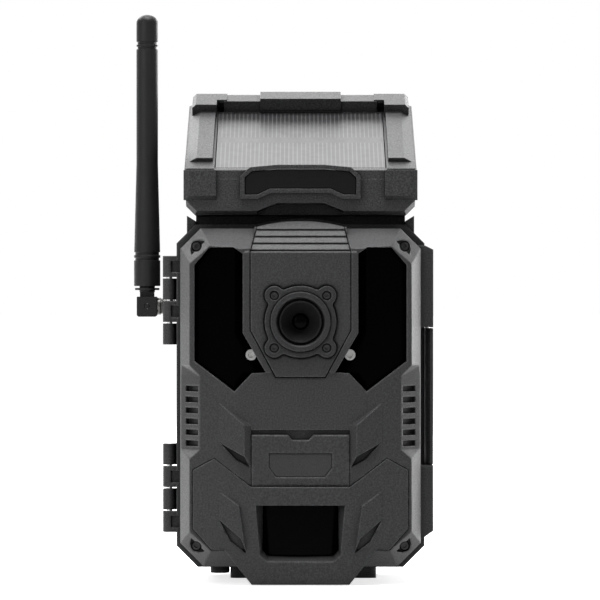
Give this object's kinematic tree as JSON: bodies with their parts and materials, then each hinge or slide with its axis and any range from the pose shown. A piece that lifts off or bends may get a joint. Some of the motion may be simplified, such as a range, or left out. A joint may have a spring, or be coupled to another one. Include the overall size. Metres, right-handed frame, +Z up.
{
  "type": "trail camera",
  "caption": "Weatherproof cellular trail camera with a solar-topped head, hinged door with lens, infrared windows and motion sensor, side latch, folding antenna and tripod foot.",
  "frame": {"origin": "mouth of the tripod socket, in the middle of the foot and on the plane the camera stands on", "axes": "-Y is the way the lens looks, +X is the latch side, +Z is up"},
  "size_m": [0.0958, 0.0751, 0.1816],
  "materials": {
    "case_plastic": "fine moulded texture",
    "door_plastic": "fine moulded texture",
    "head_plastic": "fine moulded texture",
    "badge_plastic": "satin",
    "steel": "satin",
    "dark_steel": "satin black",
    "brass": "machined",
    "connector_metal": "turned",
    "rubber": "matt",
    "antenna_plastic": "satin",
    "window_plastic": "polished black",
    "black_plastic": "matt",
    "lens_glass": "coated",
    "solar_cell": "laminate with fine lines",
    "backing": "matt",
    "board": "solder mask",
    "led_resin": "clear resin",
    "cell_sleeve": "printed sleeve, bare",
    "key_red": "satin",
    "key_grey": "satin",
    "card_plastic": "satin"
  },
  "bodies": {
    "case": {"rear_housing": "case_plastic", "base_socket": "brass", "door_gasket": "rubber", "battery_tray": "black_plastic", "battery_cells": "cell_sleeve", "battery_springs": "steel", "tray_screws": "steel", "hinge_pins": "steel", "latch_pin": "steel", "strap_bracket": "case_plastic", "bracket_screws": "steel", "power_jack": "black_plastic", "antenna_jack": "brass", "neck_block": "case_plastic", "neck_screws": "steel", "head_shell": "head_plastic", "head_frame": "head_plastic", "badge_frame": "head_plastic", "badge_plate": "badge_plastic", "panel_tray": "backing", "solar_panel": "solar_cell", "charge_board": "board", "backup_battery": "cell_sleeve"},
    "door": {"front_bezel": "door_plastic", "lens_plate": "door_plastic", "lens_ring": "door_plastic", "ring_screws": "dark_steel", "lens_barrel": "black_plastic", "lens_glass": "lens_glass", "camera_module": "black_plastic", "window_left": "window_plastic", "window_right": "window_plastic", "window_screws": "steel", "led_board_left": "board", "led_board_right": "board", "infrared_leds": "led_resin", "chest_panel": "door_plastic", "label_plate": "door_plastic", "lower_bib": "door_plastic", "motion_lens": "window_plastic", "motion_sensor": "steel", "corner_screws": "dark_steel", "main_board": "board", "inner_cover": "black_plastic", "power_switch": "black_plastic", "test_switch": "black_plastic", "card_slot": "steel"},
    "latch": {"latch_lever": "case_plastic"},
    "antenna_base": {"antenna_nut": "connector_metal", "antenna_elbow": "antenna_plastic", "elbow_pin": "steel"},
    "antenna_arm": {"antenna_core": "antenna_plastic", "antenna_whip": "antenna_plastic"},
    "power_key": {"power_button": "key_red"},
    "test_key": {"test_button": "key_grey"},
    "card": {"memory_card": "card_plastic"},
    "plug": {"jack_plug": "rubber"}
  },
  "joints": [
    {"name": "door_hinge", "type": "hinge", "parent": "case", "child": "door", "pos_m": [-0.042, -0.015, 0.06], "axis": [0, 0, -1], "range_deg": [0, 100]},
    {"name": "latch_pivot", "type": "hinge", "parent": "case", "child": "latch", "pos_m": [0.04105, -0.001, 0.0589], "axis": [0, 0, 1], "range_deg": [0, 75]},
    {"name": "antenna_swivel", "type": "hinge", "parent": "case", "child": "antenna_base", "pos_m": [-0.0495, -0.005, 0.0875], "axis": [-1, 0, 0], "range_deg": [0, 135]},
    {"name": "antenna_tilt", "type": "hinge", "parent": "antenna_base", "child": "antenna_arm", "pos_m": [-0.0495, -0.005, 0.0875], "axis": [0, -1, 0], "range_deg": [0, 90]},
    {"name": "power_press", "type": "slide", "parent": "door", "child": "power_key", "axis": [0, -1, 0], "range_m": [0, 0.0008], "stiffness_N_per_m": 400},
    {"name": "test_press", "type": "slide", "parent": "door", "child": "test_key", "axis": [0, -1, 0], "range_m": [0, 0.0008], "stiffness_N_per_m": 400},
    {"name": "card_slide", "type": "slide", "parent": "door", "child": "card", "axis": [0, 0, -1], "range_m": [0, 0.006]},
    {"name": "plug_pull", "type": "slide", "parent": "case", "child": "plug", "axis": [0, 0, -1], "range_m": [0, 0.003]}
  ]
}
